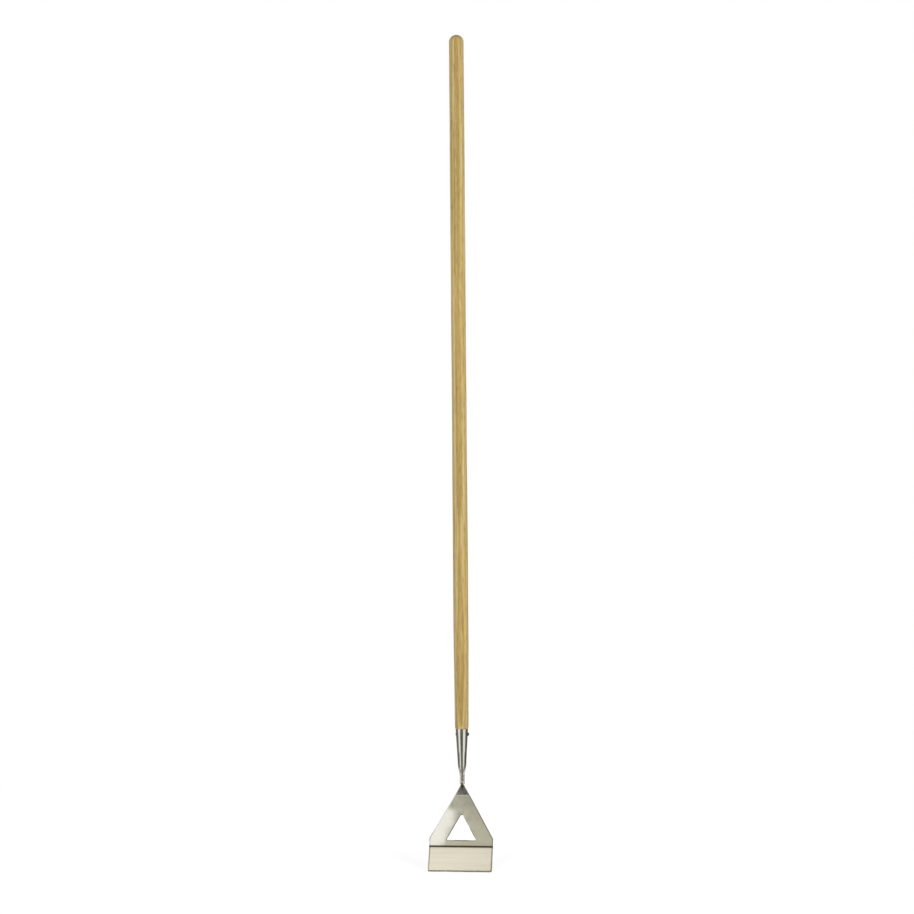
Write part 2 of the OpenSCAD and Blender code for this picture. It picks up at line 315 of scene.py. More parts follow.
def slab(front_grid, back_grid):
    """Two grids of points, one behind the other, joined by a strip round their border."""
    rows, columns = front_grid.shape[:2]
    index = np.arange(rows * columns).reshape(rows, columns)
    border = np.concatenate([index[0, :-1], index[:-1, -1], index[-1, :0:-1], index[:0:-1, 0]])
    after = np.roll(border, -1)
    behind = rows * columns
    faces = grid_faces(rows, columns)
    strip = np.stack([after, border, border + behind, after + behind], 1)
    points = np.concatenate([front_grid.reshape(-1, 3), back_grid.reshape(-1, 3)])
    return points, [faces, faces[:, ::-1] + behind, strip]


def outward(points, groups):
    """The face groups, reversed where the volume that they enclose, a sixth of the sum of their corners'
    triple products, comes out below zero."""
    def triples(group):
        corners = points[group]
        spokes = zip(range(1, group.shape[1] - 1), range(2, group.shape[1]))
        return sum((corners[:, 0] * np.cross(corners[:, i], corners[:, j])).sum() for i, j in spokes)
    return groups if sum(map(triples, groups)) > 0 else [group[:, ::-1] for group in groups]


def linked(name, data):
    """A new object in the scene."""
    made = bpy.data.objects.new(name, data)
    bpy.context.scene.collection.objects.link(made)
    return made


def meshed(name, points, groups, material):
    """A new object with a mesh of points and groups of faces."""
    mesh = bpy.data.meshes.new(name)
    faces = [face for group in groups for face in group.tolist()]
    mesh.from_pydata(points.reshape(-1, 3).tolist(), [], faces)
    mesh.materials.append(material)
    return linked(name, mesh)


def dress(shape, name, node, finish, crease=32):
    """Makes the piece that stands for a node, from its points and faces. Edges sharper than crease, in
    degrees, stay sharp."""
    points, groups = shape
    piece = meshed(name, points, outward(points, groups), finish)
    piece.data.shade_smooth()
    piece.data.set_sharp_from_angle(angle=math.radians(crease))
    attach(piece, "root")
    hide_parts(node)
    return piece


def turned_handle(sizes):
    """A profile of radius and height spun round Z. Waves of angle and height swell and shrink the radius a
    little, as sanding does."""
    cap_rings, spacing = 24, 0.006
    sanding = ((1.0, 0, 2, 9), (0.6, 0, 3, -23), (0.5, 0, 0, 41))
    rim = socket_high.z
    top, dome = handle_high.z, handle_high.z - sizes.shaft_length
    ball = (sizes.shaft_radius ** 2 + dome ** 2) / (2 * dome)
    side = fillet(
        [(sizes.tenon_foot, handle_low.z), (sizes.tenon_radius, rim), (sizes.foot_radius, rim),
         (sizes.lead_radius, rim + sizes.lead_length), (sizes.shaft_radius, 0),
         (sizes.shaft_radius, sizes.shaft_length)],
        [0, sizes.edge_round, sizes.lead_length, -rim])
    tilt = np.linspace(math.acos((ball - dome) / ball), 0, cap_rings, endpoint=False)[1:]
    cap = np.stack([ball * np.sin(tilt), top - ball + ball * np.cos(tilt)], 1)
    profile = np.concatenate([subdivide(side, spacing), cap])
    turn, height = around()[None, :], profile[:, 1:]
    proud = np.clip((height - rim) / -rim, 0, 1) * np.clip(profile[:, :1] / sizes.shaft_radius, 0, 1)
    radius = profile[:, :1] + sizes.unevenness * waves(sanding, turn, height) * proud
    return closed_tube(joined(radius * np.cos(turn), radius * np.sin(turn), height))


def tube_radius(sizes, height):
    """Outside radius of the socket before its pinch: a cone that runs out into a cylinder."""
    slope = (sizes.rim_radius - sizes.waist_radius) / sizes.cone_length
    cone = sizes.rim_radius - slope * (socket_high.z - height)
    return soft_max(cone, sizes.waist_radius, sizes.blend)


def socket_radius(sizes, turn, height):
    """Radius of the pinched tube: the smallest of the round tube, the dies' diamond and the sloped ridges,
    each flowing into the next. A diamond's radius is its half width over |cos| plus |sin| times width over
    depth, and ridge_round added under the roots of both squares rounds its corners."""
    ridge_round = 0.22
    pinch_top = socket_high.z - sizes.cone_length + sizes.pinch_rise
    growth = (sizes.pinch_half - sizes.neck_half) / sizes.pinch_length
    above_foot = height - pinch_top + sizes.pinch_length
    side = np.sqrt(np.cos(turn) ** 2 + ridge_round ** 2)
    face = np.sqrt(np.sin(turn) ** 2 + ridge_round ** 2)
    depth_share = sizes.neck_half / sizes.waist_radius - ridge_round
    half = sizes.neck_half * (1 + ridge_round * depth_share) + growth * soft_max(above_foot, 0, sizes.blend)
    diamond = half / (side + face * depth_share)
    mouth = (sizes.mouth_half + math.tan(sizes.mouth_slope) * (height - socket_low.z)) / face
    return soft_min(soft_min(tube_radius(sizes, height), diamond, sizes.blend), mouth, sizes.blend)


def pinched_socket(sizes):
    """Rings round Z, whose radius is a function of angle and height: up the bore, over the rim, down the
    pinched outside, across the mouth, and up the tongue's pocket."""
    bore_rings, outside_rings, least = 40, 170, 1e-6
    rim, mouth, edge = socket_high.z, socket_low.z, sizes.edge_round
    bore_foot = rim - sizes.cone_length + sizes.pinch_rise - sizes.pinch_length
    turn = around()[None, :]
    one = np.ones_like(turn)
    quarter = np.linspace(0, np.pi / 2, CORNER_STEPS)[:, None]
    rising, falling = edge * (1 - np.sin(quarter)), edge * (1 - np.cos(quarter))
    bore_height = np.linspace(bore_foot, rim - edge, bore_rings)[:, None]
    bore = socket_radius(sizes, turn, bore_height) - sizes.wall
    outside_height = np.linspace(rim - edge, mouth + edge, outside_rings)[:, None]
    outside = socket_radius(sizes, turn, outside_height)
    rim_inside = sizes.rim_radius - sizes.wall + falling
    rim_outside = sizes.rim_radius - rising
    foot = outside[-1:] - falling
    pocket = soft_min(
        sizes.pocket_half_width / np.maximum(np.abs(np.cos(turn)), least),
        sizes.pocket_half_depth / np.maximum(np.abs(np.sin(turn)), least), edge)
    radius = np.concatenate([
        bore, rim_inside[1:] * one, rim_outside[:-1] * one, outside, foot[1:], pocket, pocket])
    height = np.concatenate([
        bore_height, rim - rising[1:], rim - falling[:-1], outside_height, mouth + rising[1:],
        [[mouth]], [[mouth + sizes.pocket_length]]])
    return closed_tube(joined(radius * np.cos(turn), radius * np.sin(turn), height))


def hammered_rivet(sizes, socket):
    """Rings round the rivet's axis, along X: the tail's cap, its skirt down to the tube, the shank, and the
    same again for the head. A cap is part of a ball, dented by the product of two waves, and a skirt ends
    where the ring meets the round tube."""
    segments, cap_rings, first_tilt = 96, 14, 0.04
    long_wave, short_wave, head_start = (2, -1700), (5, 900), 2.0
    middle = (rivet_low.z + rivet_high.z) / 2
    turn = around(segments)[None, :]
    seat = tube_radius(socket, middle)

    def tube_side(radius):
        across, along = radius * np.cos(turn), radius * np.sin(turn)
        return np.sqrt(tube_radius(socket, middle + along) ** 2 - across ** 2)

    def end(radius, height, start):
        ball = (radius ** 2 + height ** 2) / (2 * height)
        ring = radius * np.sin(np.linspace(first_tilt, np.pi / 2, cap_rings))[:, None]
        cap = seat + np.sqrt(ball ** 2 - ring ** 2) - ball + height
        dent = waves([(sizes.dents, start, *short_wave)], turn, ring)
        dent = dent * waves([(1, 0, *long_wave)], turn, ring)
        skirt = np.concatenate([tube_side(radius), tube_side(radius) - socket.wall / 2], 0)
        foot = tube_side(sizes.shank_radius) - socket.wall / 2
        rings = np.concatenate([ring, [[radius], [radius], [sizes.shank_radius]]])
        return rings, np.concatenate([cap + dent, skirt, foot])

    tail_ring, tail_reach = end(sizes.tail_radius, sizes.tail_height, 0.0)
    head_ring, head_reach = end(sizes.head_radius, sizes.head_height, head_start)
    radius = np.concatenate([tail_ring, head_ring[::-1]])
    reach = np.concatenate([-tail_reach, head_reach[::-1]])
    return closed_tube(joined(reach, radius * np.cos(turn), middle + radius * np.sin(turn)))


def down(lean):
    """Direction down a sheet that leans, in Y and Z."""
    return np.stack([-np.sin(lean), -np.cos(lean)], -1)


def front(lean):
    """Direction out of the front of a sheet that leans, in Y and Z."""
    return np.stack([-np.cos(lean), np.sin(lean)], -1)


def bend_height(sizes):
    """Height of the bend's corner on the handle's axis."""
    return socket_low.z - sizes.tab_length


def bend_run(sizes):
    """Distance from the bend's corner to where the bend begins, along the middle of the sheet."""
    return sizes.bend_radius * math.tan(sizes.lean / 2)


def sheet_place(sizes, along):
    """Point of the frame's middle, along from the bend's corner, in Y and Z."""
    return np.array([0, bend_height(sizes)]) + along * down(sizes.lean)


def seam_place(sizes):
    """Middle of the seam, in Y and Z."""
    return sheet_place(sizes, sizes.frame_length)


def bent(sizes, across, along, out):
    """Points of the bent sheet: across is X, along is the distance down the sheet from the bend, and out is
    the height over its middle. Through the bend the sheet's lean grows evenly with the distance."""
    run = bend_run(sizes)
    lean = np.clip((along / run + 1) / 2, 0, 1) * sizes.lean
    past = np.where(along < -run, along + run, np.maximum(along - run, 0))
    pivot = np.array([-sizes.bend_radius, bend_height(sizes) + run])
    place = pivot + (out - sizes.bend_radius)[..., None] * front(lean) + past[..., None] * down(lean)
    return np.concatenate([across[..., None], place], -1)


def ray_lengths(outline, turn):
    """Distance from the origin to a closed outline along each angle: the crossing of the ray with the
    outline's side that spans the angle."""
    corner = np.unwrap(np.arctan2(outline[:, 0], -outline[:, 1]))
    order = 1 if corner[-1] > corner[0] else -1
    points = outline[::order]
    corner = corner[::order]
    whole = np.concatenate([points, points[:1]])
    limits = np.concatenate([corner, corner[:1] + 2 * np.pi])
    wrapped = limits[0] + np.mod(turn - limits[0], 2 * np.pi)
    side = np.clip(np.searchsorted(limits, wrapped, side="right") - 1, 0, len(points) - 1)
    start, step = whole[side], whole[side + 1] - whole[side]
    ray = np.stack([np.sin(turn), -np.cos(turn)], 1)
    cross = start[:, 0] * step[:, 1] - start[:, 1] * step[:, 0]
    return cross / (ray[:, 0] * step[:, 1] - ray[:, 1] * step[:, 0])


def mirrored(half):
    """A closed outline from its right half, which starts and ends near the middle line."""
    return np.concatenate([half, half[::-1] * (-1, 1)])


def plate_outlines(sizes, welds):
    """Outer edge and window of the flat sheet, each as X and distance down from the bend, and how far down
    the window's middle is."""
    spacing, tongue_round = 0.003, 0.0005
    half, tongue, half_window = sizes.width / 2, sizes.tongue_width / 2, sizes.window_width / 2
    top, end = -sizes.tab_length - sizes.tongue_length, sizes.frame_length - welds.seam_width / 2
    shoulder = sizes.frame_length - sizes.side_height
    outer = fillet(
        [(0, top), (tongue, top), (tongue, -sizes.tab_length), (half, shoulder), (half, end), (0, end)],
        [tongue_round, 0, sizes.shoulder_radius, 0])
    slope = (half - tongue) / (sizes.tab_length + shoulder)
    foot = sizes.frame_length - sizes.bar_height
    tip = foot - half_window / slope
    window = fillet(
        [(0, foot), (half_window, foot), (0, tip), (-half_window, foot), (0, foot)],
        [sizes.foot_radius, sizes.tip_radius, sizes.foot_radius])
    return mirrored(subdivide(outer, spacing)[1:-1]), window[:-1], (tip + 2 * foot) / 3


def head_plate(sizes, welds):
    """A closed section carried round the window. Each ray from the window's middle crosses the sheet from
    the window's edge to the outer edge; the section runs out along the front, down the facet and round the
    outer edge, back along the back and round the window's edge. The sheet is then bent, and waves of X and
    the distance down the sheet lift it a little, as polishing does."""
    rays, closest, least_rise = 240, 2e-4, 1e-3
    face_steps, bend_steps, tab_steps = 14, 8, 8
    fade_start, fade_length = 0.002, 0.001
    polishing = ((1, 0, 130, 70), (1, 1, -160, 95), (1, 2, 0, 210))
    outer, window, middle = plate_outlines(sizes, welds)
    outer, window = outer - (0, middle), window - (0, middle)
    corners = np.concatenate([np.arctan2(o[:, 0], -o[:, 1]) for o in (outer, window)])
    turn = np.sort(np.concatenate([np.mod(corners, 2 * np.pi), around(rays)]))
    turn = turn[np.concatenate([[True], np.diff(turn) > closest])]
    inner_reach, outer_reach = ray_lengths(window, turn)[:, None], ray_lengths(outer, turn)[:, None]

    run = bend_run(sizes)
    rise = np.cos(turn)[:, None]
    upward = np.maximum(rise, least_rise)
    facet, edge = sizes.facet_width, sizes.edge_round
    inside, outside = inner_reach + facet, outer_reach - facet
    bend_start = np.minimum((middle - run) / upward, outside - 3 * edge)
    bend_end = np.minimum((middle + run) / upward, outside - 2 * edge)

    def between(start, end, count):
        return start + (end - start) * np.linspace(0, 1, count, endpoint=False)

    face = np.concatenate(
        [inside, between(inside + edge, bend_start, face_steps), between(bend_start, bend_end, bend_steps),
         between(bend_end, outside - edge, tab_steps), outside - edge, outside], axis=1)
    back = face[:, ::-1] + (facet - edge) * np.linspace(1, -1, face.shape[1])[None]
    half = sizes.thickness / 2
    level = np.full((1, face.shape[1]), half)
    quarter = np.linspace(0, np.pi / 2, CORNER_STEPS + 1)[None, 1:]
    rising, falling = edge * (1 - np.sin(quarter)), edge * (1 - np.cos(quarter))
    down_facet = np.array([[0.06, 0.5, 0.94, 1.0]])
    short = np.concatenate([facet - (facet - edge) * down_facet, rising], 1)
    depth = np.concatenate([sizes.facet_depth * down_facet, sizes.facet_depth + falling], 1)
    above_seam = sizes.frame_length - middle + outer_reach * rise
    clear_of_seam = np.clip((above_seam - fade_start) / fade_length, 0, 1)
    section = (
        (face, level),
        (outer_reach - short, half - depth * clear_of_seam),
        (outer_reach - falling, rising - half),
        (back[:, 1:], -level[:, 1:]),
        (inner_reach + rising, falling - half),
        (inner_reach + short[:, ::-1], half - depth[:, ::-1]))
    reach = np.concatenate([reached for reached, height in section], 1)
    out = np.concatenate([np.broadcast_to(height, reached.shape) for reached, height in section], 1)
    across, along = reach * np.sin(turn)[:, None], middle - reach * rise
    points = bent(sizes, across, along, out + sizes.waviness * waves(polishing, across, along))
    return points.reshape(-1, 3), [grid_faces(*reach.shape, wrap_rows=True, wrap_columns=True)]


def neck_beads(welds, head):
    """Two beads, in front and behind. A bead is a round section carried along X that sits in the corner
    between the mouth and the sheet; its radius ripples along it and closes at both ends like an ellipse."""
    rings, segments = 60, 40
    fullness, tuck, lag = 0.78, 0.3, 0.8
    share = np.sin(np.linspace(-np.pi / 2, np.pi / 2, rings)[1:-1])[:, None]
    turn = around(segments)[None, :]
    across = welds.bead_half * share
    ripple = welds.ripple_height * np.cos(2 * np.pi * across / welds.ripple_pitch + lag * np.cos(turn))
    radius = (fullness * welds.bead_leg + ripple) * np.sqrt(1 - share ** 4)
    ahead = -head.thickness / 2 - tuck * welds.bead_leg
    height = socket_low.z - tuck * welds.bead_leg
    ring = joined(across, ahead + radius * np.cos(turn), height + radius * np.sin(turn))
    near_points, near_faces = closed_tube(ring)
    far_points, far_faces = closed_tube(ring * (-1, -1, 1))
    return np.concatenate([near_points, far_points]), near_faces + [f + len(near_points) for f in far_faces]


def ground_blade(sizes, head, welds):
    """Two grids over X and the distance down the blade. The front falls along a straight bevel near the
    ground edges, by the bevel's width, which wanders in waves, less the distance to the nearest one. Both
    corners are squares drawn in to quarter circles."""
    columns_between, rows_above = 62, 26
    grinding = ((0.5, 0, 90, 130), (0.5, 1, 210, -60))
    edge_shares = np.concatenate([[0, 0.2], np.linspace(0.5, 1, 5)])
    half, corner = head.width / 2, sizes.corner
    fine = edge_shares * max(sizes.bevel, corner)
    inner = half - fine[-1]
    columns = np.concatenate(
        [-half + fine, np.linspace(-inner, inner, columns_between)[1:-1], (half - fine)[::-1]])
    upper = np.linspace(welds.seam_width / 2, sizes.length - fine[-1], rows_above)[:-1]
    across, along = np.meshgrid(columns, np.concatenate([upper, (sizes.length - fine)[::-1]]))
    nearest = np.minimum(half - np.abs(across), sizes.length - along)
    width = sizes.bevel * (1 + sizes.hand_share * waves(grinding, across, along))
    slope = (sizes.thickness - sizes.edge) / sizes.bevel
    rounding = sizes.edge_round * (nearest <= 0)
    face = sizes.thickness / 2 - slope * np.maximum(width - nearest, 0) - rounding
    face = np.maximum(face, sizes.edge - sizes.thickness / 2 - sizes.edge_round)
    sole = -sizes.thickness / 2 + rounding

    aside = np.clip((np.abs(across) - half + corner) / corner, 0, 1)
    ahead = np.clip((along - sizes.length + corner) / corner, 0, 1)
    drawn_across = np.sign(across) * (np.abs(across) - corner * aside * (1 - np.sqrt(1 - ahead ** 2 / 2)))
    drawn_along = along - corner * ahead * (1 - np.sqrt(1 - aside ** 2 / 2))

    def placed(out):
        on_sheet = seam_place(head) + drawn_along[..., None] * down(sizes.lean)
        return np.concatenate([drawn_across[..., None], on_sheet + out[..., None] * front(sizes.lean)], -1)

    return slab(placed(face), placed(sole))


def seam_bead(welds, head, blade):
    """A section carried along X between the frame's and the blade's ends: hollow in front, a parabola
    behind, and both rippled by a cosine of X that lags towards the section's middle."""
    section_points, rings = 14, 420
    hollow_share, lag = 0.4, 2.2
    gap = welds.seam_width / 2
    seam = seam_place(head)
    frame_end, blade_end = seam - gap * down(head.lean), seam + gap * down(blade.lean)
    half_frame, half_blade = head.thickness / 2, blade.thickness / 2
    ends_front = (frame_end + (half_frame - welds.seam_sink) * front(head.lean),
                  blade_end + (half_blade - welds.seam_sink) * front(blade.lean))
    ends_back = (frame_end - half_frame * front(head.lean), blade_end - half_blade * front(blade.lean))
    share = np.linspace(0, 1, section_points)[:, None]
    bow = 4 * share * (1 - share)
    ahead = front((head.lean + blade.lean) / 2)

    def line(ends, sunk):
        return ends[0] * (1 - share) + ends[1] * share - sunk * bow * ahead

    front_line = line(ends_front, hollow_share * welds.seam_sink)
    back_line = line(ends_back, welds.seam_crown)
    section = np.concatenate([front_line, back_line[::-1]])
    lift = np.concatenate([bow, -bow[::-1]]).T
    across = np.linspace(-head.width / 2, head.width / 2, rings)[:, None]
    ripple = welds.ripple_height * np.cos(2 * np.pi * across / welds.ripple_pitch + lag * np.abs(lift))
    place = section[None] + (ripple * lift)[..., None] * ahead
    return closed_tube(joined(across, place[..., 0], place[..., 1]))


# Finishes

class Finish:
    """The node tree of a material or a world, with short ways to add and join nodes."""

    def __init__(self, owner, output="OutputMaterial"):
        owner.use_nodes = True
        self.owner = owner
        self.tree = owner.node_tree
        self.tree.nodes.clear()
        self.output = self.node(output)

    def node(self, kind, inputs=(), **settings):
        """Adds a node. Its inputs are joined to sockets or set to values."""
        made = self.tree.nodes.new("ShaderNode" + kind)
        for key, value in settings.items():
            setattr(made, key, value)
        for key, value in dict(inputs).items():
            socket = made.inputs[key]
            if isinstance(value, bpy.types.NodeSocket):
                self.tree.links.new(value, socket)
            else:
                socket.default_value = (*value, 1.0) if socket.type == "RGBA" else value
        return made

    def place(self):
        """The point itself, in the object's coordinates."""
        return self.node("TexCoord").outputs["Object"]

    def along(self, axis, vector):
        """One coordinate of a vector."""
        return self.node("SeparateXYZ", {"Vector": vector}).outputs[axis]

    def stretched(self, vector, scale, start=(0, 0, 0)):
        """A vector with its coordinates scaled, then shifted by start."""
        return self.node("Mapping", {"Vector": vector, "Scale": scale, "Location": start}).outputs["Vector"]

    def distance(self, a, b):
        """Distance between two points."""
        return self.node("VectorMath", {0: a, 1: b}, operation="DISTANCE").outputs["Value"]

    def noise(self, vector, rates, detail=2.0, roughness=0.5, start=(0, 0, 0)):
        """Soft noise that varies at its own rate along each axis."""
        vector = self.stretched(vector, rates, start)
        settings = {"Vector": vector, "Scale": 1.0, "Detail": detail, "Roughness": roughness}
        return self.node("TexNoise", settings).outputs["Fac"]

    def math(self, operation, a, b=0.0):
        """What an operation makes of two numbers."""
        return self.node("Math", {0: a, 1: b}, operation=operation).outputs[0]

    def plus(self, a, b):
        return self.math("ADD", a, b)

    def minus(self, a, b):
        return self.math("SUBTRACT", a, b)

    def times(self, a, b):
        return self.math("MULTIPLY", a, b)

    def spread(self, value, limits, ends=(0.0, 1.0)):
        """A number that runs from one end to the other while value runs between its limits."""
        keys = ("Value", "From Min", "From Max", "To Min", "To Max")
        return self.node("MapRange", zip(keys, (value, *limits, *ends))).outputs["Result"]

    def mixed(self, share, a, b, blend="MIX"):
        """A share of colour b over colour a."""
        inputs = {0: share, 6: a, 7: b}
        return self.node("Mix", inputs, data_type="RGBA", blend_type=blend).outputs[2]

    def shaded(self, tone, shade):
        """A colour times a number."""
        return self.node("VectorMath", {0: tone, "Scale": shade}, operation="SCALE").outputs["Vector"]

    def bump(self, height, strength, distance):
        """A normal tilted by the slope of height."""
        settings = {"Height": height, "Strength": strength, "Distance": distance}
        return self.node("Bump", settings).outputs["Normal"]

    def surface(self, kind, inputs):
        """Joins a shader to the output, and returns the finished material or world."""
        self.tree.links.new(self.node(kind, inputs).outputs[0], self.output.inputs["Surface"])
        return self.owner


def new_finish(name):
    """The finish of a new material."""
    return Finish(bpy.data.materials.new(name))


def ash_finish(finishes):
    """Straight-grained ash under a satin lacquer: growth rings about a pith behind the shaft, which slow
    noise moves and spaces unevenly, open pores in the early wood, and streaks and flecks along the shaft."""
    ring_width, ring_unevenness, ring_start = 0.0034, 1.6, 0.87
    pith, slow_wander, quick_wander = (0.0005, 0.045, 0), 0.005, 0.0025
    # the wood grows darker towards the top end, over the shaft's last centimetre as well as the dome
    top_darkening = (handle_high.z - 0.011, handle_high.z - 0.002)
    relief_depth = 0.0003
    finish = new_finish("satin_ash")
    place = finish.place()
    slow = finish.times(finish.noise(place, (9, 9, 1.1)), slow_wander)
    quick = finish.times(finish.noise(place, (25, 25, 6)), quick_wander)
    from_pith = finish.distance(finish.stretched(place, (1, 1, 0)), pith)
    growth = finish.plus(from_pith, finish.plus(slow, quick))
    by_growth = finish.node("CombineXYZ", {"X": growth}).outputs[0]
    uneven = finish.times(finish.noise(by_growth, (160, 160, 160), 1.0), ring_unevenness)
    rings = finish.plus(finish.math("DIVIDE", growth, ring_width), uneven)
    year = finish.math("FRACT", finish.plus(rings, ring_start))
    early = finish.times(finish.spread(year, (0.0, 0.08)), finish.spread(year, (0.2, 0.5), (1.0, 0.0)))
    late = finish.spread(year, (0.45, 1.0))

    streak = finish.noise(place, (230, 230, 4.5), 3.0, 0.55)
    warmth = finish.noise(place, (150, 150, 3.0), start=(3, 1, 7))
    fleck = finish.noise(place, (480, 480, 40), 2.0, 0.6, start=(1, 4, 0))
    fibre = finish.noise(place, (1900, 1900, 22), 2.0, 0.6)
    pore = finish.noise(place, (1300, 1300, 55), 1.0, start=(5, 2, 0))
    open_pore = finish.times(finish.spread(pore, (0.6, 0.68)), early)

    tone = finish.mixed(finish.spread(streak, (0.43, 0.56)), finishes.ash_olive, finishes.ash_gold)
    for share, layer in (
            (finish.spread(warmth, (0.52, 0.66), (0.0, 0.85)), finishes.ash_brown),
            (finish.spread(warmth, (0.33, 0.46), (0.7, 0.0)), finishes.ash_pale),
            (finish.times(late, 0.45), finishes.ash_pale),
            (finish.times(early, 0.55), finishes.ash_brown),
            (finish.spread(fleck, (0.54, 0.72), (0.0, 0.55)), finishes.ash_pore),
            (finish.spread(finish.along("Z", place), top_darkening, (0.0, 0.45)), finishes.ash_pore),
            (finish.times(open_pore, 0.7), finishes.ash_pore)):
        tone = finish.mixed(share, tone, layer)
    relief = finish.minus(finish.times(fibre, 0.35), open_pore)
    return finish.surface("BsdfPrincipled", {
        "Base Color": finish.shaded(tone, finish.spread(fibre, (0.25, 0.75), (0.86, 1.12))),
        "Roughness": finish.spread(fibre, (0.2, 0.8), (0.4, 0.55)),
        "Specular IOR Level": 0.35,
        "Coat Weight": 0.12,
        "Coat Roughness": 0.3,
        "Normal": finish.bump(relief, 0.25, relief_depth),
    })


def from_seam(finish, place, head):
    """Distance from the middle line of the seam."""
    return finish.distance(finish.stretched(place, (0, 1, 1)), (0, *seam_place(head)))


def heat(finish, place, scene, steel, seam_tint_and_shade_reach):
    """Tints steel near the neck's weld and beside the seam: oxide at the weld, then straw, then plain steel.
    Beside the seam the tint is partly heat tint and partly painted shade, which darkens the crease between
    frame and blade. The neck's tint fills an ellipsoid round the mouth, narrow in X and deep in Y, with a
    cloudy edge."""
    finishes, mouth = scene.hoe_finishes, socket_low.z
    seam_straw_and_shade, seam_oxide_and_shade = (0.0016, 0.0035), (0.0014, seam_tint_and_shade_reach)
    neck_straw, neck_oxide, cloud_reach = (0.0075, 0.0135), (0.0055, 0.0095), 0.004
    narrow, deep, tall = 3.0, 0.3, 0.8
    seam = from_seam(finish, place, scene.hoe_head)
    near_neck = finish.stretched(place, (narrow, deep, tall), (0, 0, (1 - tall) * mouth))
    cloud = finish.times(finish.noise(place, (260, 260, 260), 3.0), cloud_reach)
    neck = finish.plus(finish.distance(near_neck, (0, 0, mouth)), cloud)
    for away, limits, most, tint, blend in (
            # beside the seam: partly heat tint, partly painted shade of the crease between frame and blade
            (seam, seam_straw_and_shade, 0.55, finishes.straw, "MULTIPLY"),
            (seam, seam_oxide_and_shade, 0.75, finishes.oxide, "MIX"),
            (neck, neck_straw, 0.4, finishes.straw, "MULTIPLY"),
            (neck, neck_oxide, 0.7, finishes.oxide, "MIX")):
        steel = finish.mixed(finish.spread(away, limits, (most, 0.0)), steel, tint, blend)
    return steel


def painted_window_foot_shade(finish, place, scene, steel):
    """Painted shade: darkens the steel towards the oxide colour in a line along the window's foot, where that
    edge shows dark.
    """
    head = scene.hoe_head
    line_top, line_foot, line_end, foot_shade_darkness = (-0.0012, -0.0006), (0.0003, 0.0024), (-0.002, 0.003), 0.42
    foot_height = sheet_place(head, head.frame_length - head.bar_height)[1]
    below = finish.minus(foot_height, finish.along("Z", place))
    beside = finish.minus(finish.math("ABSOLUTE", finish.along("X", place)), head.window_width / 2)
    # painted shade: a dark line just below the window's foot, fading out towards both ends
    line = finish.times(finish.spread(below, line_top), finish.spread(below, line_foot, (foot_shade_darkness, 0.0)))
    within = finish.spread(beside, line_end, (1.0, 0.0))
    return finish.mixed(finish.times(line, within), steel, scene.hoe_finishes.oxide)


def polished_finish(scene):
    """Polished stainless steel: fine polishing lines, a soft mottle, heat tints at the welds with painted
    shade beside the seam, and a line of painted shade at the window's foot."""
    seam_tint_and_shade_reach, line_depth = 0.0024, 0.0001
    finish = new_finish("polished_steel")
    finishes = scene.hoe_finishes
    place = finish.place()
    lines = finish.noise(place, (2600, 700, 60), 2.0, 0.6)
    mottle = finish.noise(place, (95, 95, 57), 3.0, 0.55)
    mottled = finish.spread(mottle, (0.3, 0.7), (0.93, 1.03))
    shade = finish.plus(finish.spread(lines, (0.25, 0.75), (-0.025, 0.025)), mottled)
    steel = heat(finish, place, scene, finish.shaded(tuple(finishes.polished), shade), seam_tint_and_shade_reach)
    rough = finishes.polished_rough
    patchy = finish.spread(mottle, (0.3, 0.7), (rough - 0.03, rough + 0.05))
    return finish.surface("BsdfPrincipled", {
        # the colour carries the painted shade along the window's foot
        "Base Color": painted_window_foot_shade(finish, place, scene, steel),
        "Metallic": 1.0,
        "Roughness": finish.plus(finish.spread(lines, (0.2, 0.8), (-0.03, 0.04)), patchy),
        "Normal": finish.bump(lines, 0.02, line_depth),
    })


def satin_finish(scene):
    """Ground stainless steel: lines across the blade, a few duller streaks, a band that darkens towards the
    seam, and the heat's tint along it, partly painted shade."""
    seam_tint_and_shade_reach, line_depth, band_width = 0.0042, 0.0001, (0.004, 0.026)
    finish = new_finish("satin_steel")
    finishes = scene.hoe_finishes
    place = finish.place()
    lines = finish.noise(place, (18, 2100, 2100), 3.0, 0.65)
    streak = finish.noise(place, (9, 210, 210), 3.0, 0.6, start=(2, 0, 5))
    # the colour grows darker towards the seam, by up to a tenth
    band = finish.spread(from_seam(finish, place, scene.hoe_head), band_width, (0.9, 1.0))
    dull = finish.times(finish.spread(streak, (0.35, 0.7), (1.0, 0.93)), band)
    shade = finish.plus(finish.spread(lines, (0.25, 0.75), (-0.03, 0.03)), dull)
    rough = finishes.satin_rough
    return finish.surface("BsdfPrincipled", {
        "Base Color": heat(finish, place, scene, finish.shaded(tuple(finishes.satin), shade), seam_tint_and_shade_reach),
        "Metallic": 1.0,
        "Roughness": finish.spread(lines, (0.2, 0.8), (rough - 0.05, rough + 0.07)),
        "Normal": finish.bump(lines, 0.05, line_depth),
    })


def rivet_finish(finishes):
    """Steel darker than the socket's, partly a duller steel and partly painted shade for its small head, with
    the stains of its making.
    """
    finish = new_finish("rivet_steel")
    stain = finish.noise(finish.place(), (900, 900, 900), 3.0, 0.6)
    stained = finish.spread(stain, (0.35, 0.7), (0.0, 0.6))
    return finish.surface("BsdfPrincipled", {
        # the colour carries painted shade as well as the rivet's own duller steel
        "Base Color": finish.mixed(stained, finishes.rivet, finishes.oxide),
        "Metallic": 1.0,
        "Roughness": finish.spread(stain, (0.3, 0.7), (0.32, 0.5)),
    })


